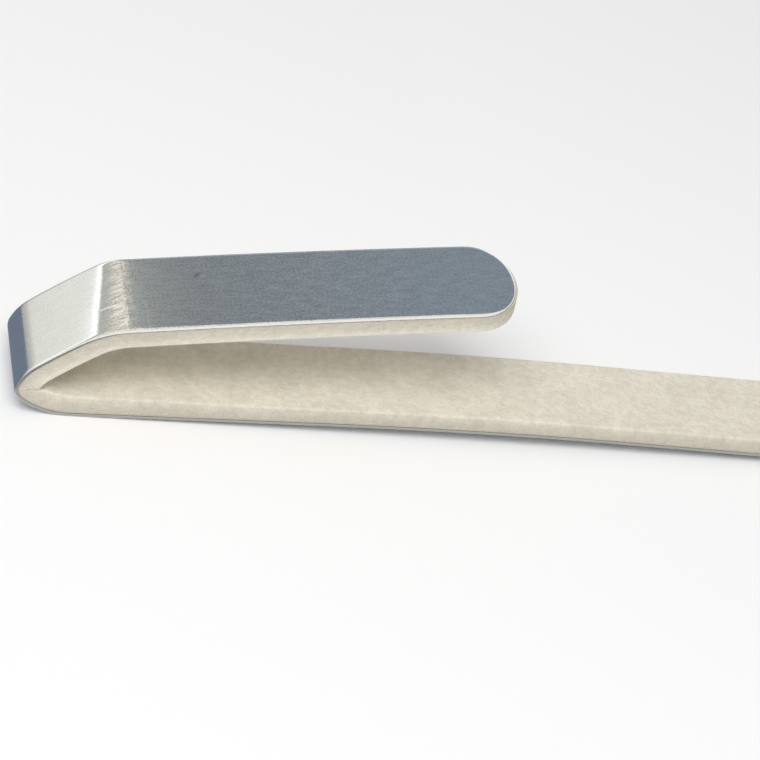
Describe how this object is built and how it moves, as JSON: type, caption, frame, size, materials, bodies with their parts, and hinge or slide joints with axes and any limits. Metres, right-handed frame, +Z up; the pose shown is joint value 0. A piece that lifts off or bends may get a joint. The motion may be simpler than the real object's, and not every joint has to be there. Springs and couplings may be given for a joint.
{
  "type": "finger splint",
  "caption": "Long finger splint, a bent aluminium strip with a bonded foam pad inside, wrapped over the fingertip, with round ends and an open gap for the finger.",
  "frame": {"origin": "bottom centre of the object's box, on the surface that the underside rests on", "axes": "+X along the palm and forearm limb, away from the bent tip; +Y across the strip, away from its near edge; +Z up, from the palm limb to the limb on the back of the finger"},
  "size_m": [0.3238, 0.0288, 0.0428],
  "materials": {
    "aluminium": "rolled sheet with a fine lengthwise grain",
    "foam": "soft open foam, cream white"
  },
  "bodies": {
    "root": {"aluminium_strip": "aluminium", "foam_pad": "foam"}
  },
  "joints": []
}
